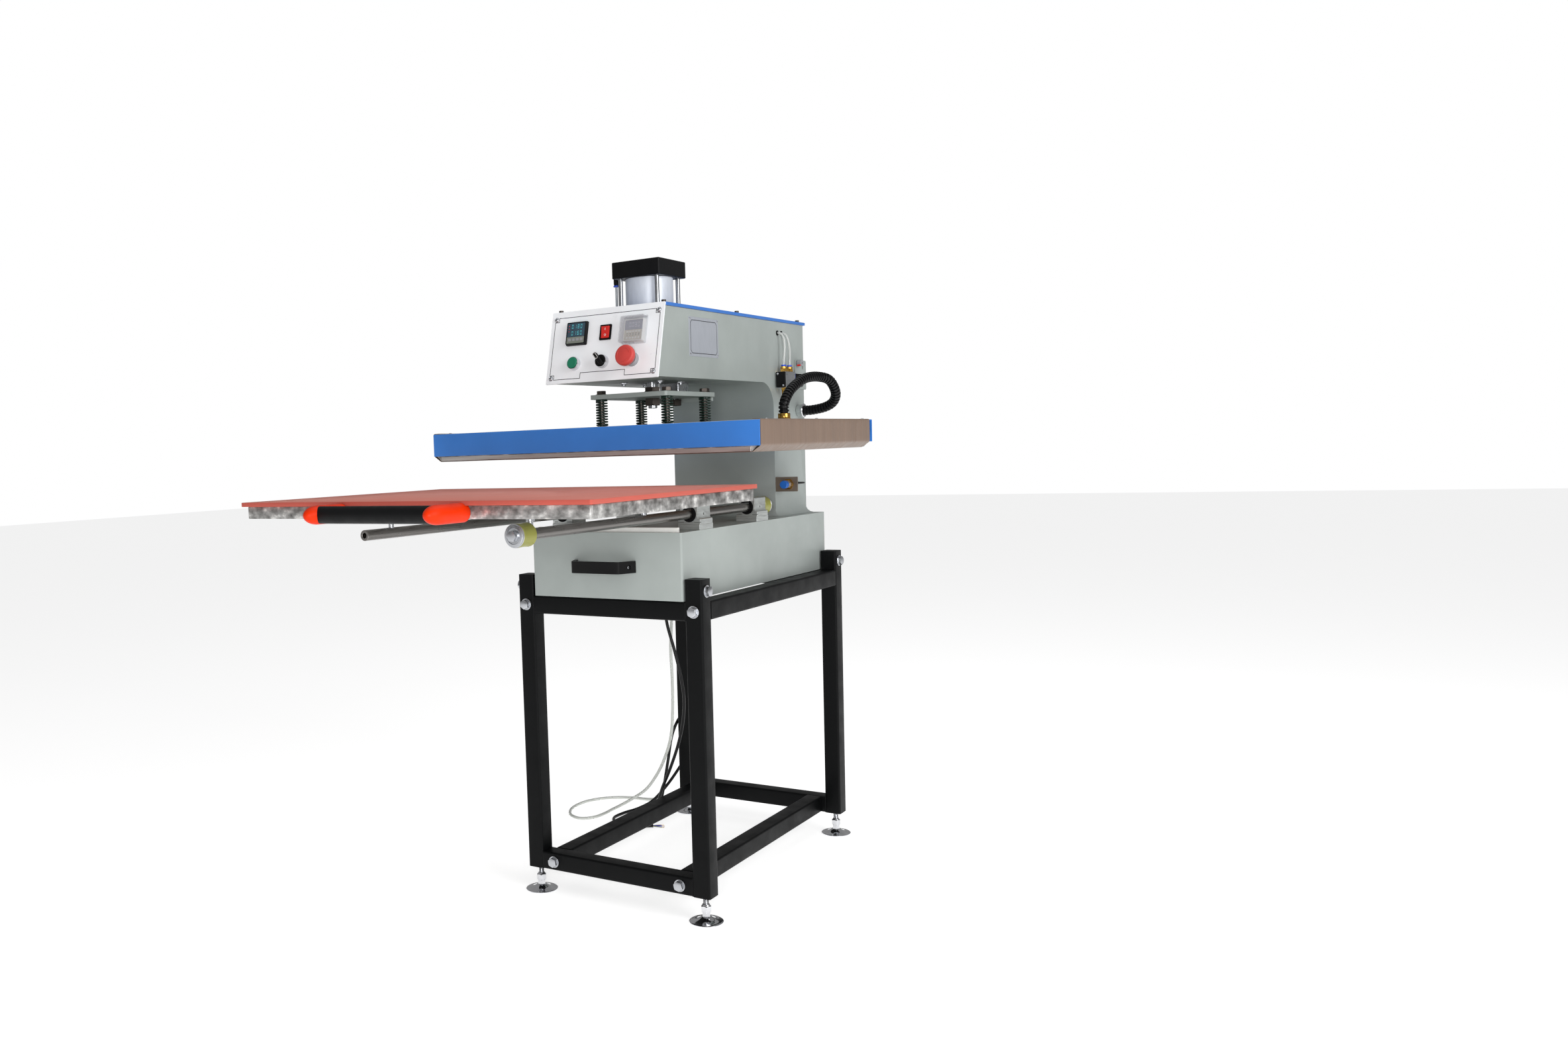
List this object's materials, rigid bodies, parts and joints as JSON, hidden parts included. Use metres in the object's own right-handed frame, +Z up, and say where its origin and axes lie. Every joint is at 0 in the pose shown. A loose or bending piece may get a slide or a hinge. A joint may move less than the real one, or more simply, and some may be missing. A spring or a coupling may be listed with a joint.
{
  "type": "pneumatic heat press",
  "caption": "Pneumatic flatbed heat press on a tube stand: sliding lower plate, sprung heated platen under an air cylinder, C-shaped column and sloping control panel.",
  "frame": {"origin": "on the floor, in the middle of the press seen from above, cords left out", "axes": "+X to the right of the person at the handle, +Y to the back, +Z up"},
  "size_m": [0.9126, 1.5328, 1.4006],
  "materials": {
    "body_paint": "grey-green hammer-free powder coat, satin",
    "stand_paint": "black powder coat, half gloss",
    "lid_blue": "blue paint, satin",
    "cover_blue": "bright blue paint, half gloss",
    "panel_white": "white printed sheet, satin",
    "zinc": "bright zinc plate",
    "steel": "ground and hardened bar",
    "chrome": "bright plated",
    "aluminium": "drawn tube and machined body",
    "block_silver": "silver enamel on cast iron",
    "cast_aluminium": "milled casting",
    "black_plastic": "black moulding and black anodised metal",
    "black_rubber": "black flexible sheath",
    "orange_plastic": "orange gloss moulding",
    "silicone_red": "red silicone foam, matt",
    "sheet_brown": "brown coated glass cloth",
    "spring_green": "dark green lacquered spring wire",
    "brass": "bright brass",
    "clear_hose": "clear soft plastic tube",
    "clear_cover": "clear moulded cover",
    "red_plastic": "red gloss moulding",
    "green_plastic": "green gloss moulding"
  },
  "bodies": {
    "stand": {"front_frame": "stand_paint", "rear_frame": "stand_paint", "upper_rail_left": "stand_paint", "upper_rail_right": "stand_paint", "lower_rail_left": "stand_paint", "lower_rail_right": "stand_paint", "base_cabinet": "body_paint", "cabinet_handle": "black_plastic", "column_and_head": "body_paint", "rear_cover": "body_paint", "head_lid": "lid_blue", "cylinder_top_cap": "black_plastic", "cylinder_front_cap": "black_plastic", "cylinder_barrel": "aluminium", "guide_bush": "black_plastic", "bearing_block_front_left": "block_silver", "bearing_block_rear_left": "block_silver", "bearing_block_front_right": "block_silver", "bearing_block_rear_right": "block_silver", "air_valve": "aluminium", "valve_bracket": "body_paint", "valve_hose_front": "clear_hose", "valve_hose_rear": "clear_hose", "column_gland": "chrome", "conduit": "black_rubber", "proximity_sensor": "chrome", "sensor_lead": "black_rubber", "control_panel": "panel_white", "temperature_controller": "black_plastic", "timer": "black_plastic", "mains_cable": "black_rubber", "supply_hose": "clear_hose", "supply_plug": "brass"},
    "table": {"lower_plate": "cast_aluminium", "silicone_pad": "silicone_red", "handle_leg_left": "orange_plastic", "handle_leg_right": "orange_plastic", "handle_grip": "black_plastic", "slide_shaft_left": "steel", "slide_shaft_right": "steel"},
    "press": {"piston_rod": "steel", "guide_rod": "steel", "spring_plate": "body_paint", "platen_spring_front_left": "spring_green", "platen_spring_rear_left": "spring_green", "platen_spring_front_right": "spring_green", "platen_spring_rear_right": "spring_green"},
    "platen": {"heating_plate": "cast_aluminium", "platen_cover": "cover_blue", "release_sheet": "sheet_brown", "platen_gland": "brass"},
    "timer_cover": {"timer_cover": "clear_cover"},
    "power_rocker": {"power_rocker": "red_plastic"},
    "start_button": {"start_button": "green_plastic"},
    "selector_knob": {"selector_knob": "black_plastic"},
    "emergency_stop": {"emergency_stop": "red_plastic"},
    "foot_front_left": {"foot_front_left": "zinc"},
    "foot_front_right": {"foot_front_right": "zinc"},
    "foot_rear_left": {"foot_rear_left": "zinc"},
    "foot_rear_right": {"foot_rear_right": "zinc"}
  },
  "joints": [
    {"name": "table_slide", "type": "slide", "parent": "stand", "child": "table", "axis": [0, 1, 0], "range_m": [0, 0.574]},
    {"name": "press_stroke", "type": "slide", "parent": "stand", "child": "press", "axis": [0, 0, -1], "range_m": [0, 0.06], "deforming": ["conduit"]},
    {"name": "platen_float", "type": "slide", "parent": "press", "child": "platen", "axis": [0, 0, 1], "range_m": [0, 0.006], "stiffness_N_per_m": 20000, "springref_m": -0.005, "deforming": ["platen_spring_front_left", "platen_spring_rear_left", "platen_spring_front_right", "platen_spring_rear_right"]},
    {"name": "timer_cover_hinge", "type": "hinge", "parent": "stand", "child": "timer_cover", "pos_m": [0.075, 0.02312, 1.26129], "axis": [-1, 0, 0], "range_deg": [0, 95]},
    {"name": "power_rocker_tilt", "type": "hinge", "parent": "stand", "child": "power_rocker", "pos_m": [0.002, 0.01819, 1.23613], "axis": [-1, 0, 0], "range_deg": [0, 12]},
    {"name": "start_button_press", "type": "slide", "parent": "stand", "child": "start_button", "axis": [0, 0.9703, -0.2419], "range_m": [0, 0.004], "stiffness_N_per_m": 500, "springref_m": -0.004},
    {"name": "selector_turn", "type": "hinge", "parent": "stand", "child": "selector_knob", "pos_m": [0.002, 0.00407, 1.17328], "axis": [0, -0.9703, 0.2419], "range_deg": [-45, 45]},
    {"name": "emergency_stop_press", "type": "slide", "parent": "stand", "child": "emergency_stop", "axis": [0, 0.9703, -0.2419], "range_m": [0, 0.006]},
    {"name": "foot_front_left_turn", "type": "hinge", "parent": "stand", "child": "foot_front_left", "pos_m": [-0.21, 0.00915, 0], "axis": [0, 0, 1], "range_deg": [-180, 180]},
    {"name": "foot_front_right_turn", "type": "hinge", "parent": "stand", "child": "foot_front_right", "pos_m": [0.21, 0.00915, 0], "axis": [0, 0, 1], "range_deg": [-180, 180]},
    {"name": "foot_rear_left_turn", "type": "hinge", "parent": "stand", "child": "foot_rear_left", "pos_m": [-0.21, 0.70715, 0], "axis": [0, 0, 1], "range_deg": [-180, 180]},
    {"name": "foot_rear_right_turn", "type": "hinge", "parent": "stand", "child": "foot_rear_right", "pos_m": [0.21, 0.70715, 0], "axis": [0, 0, 1], "range_deg": [-180, 180]}
  ]
}
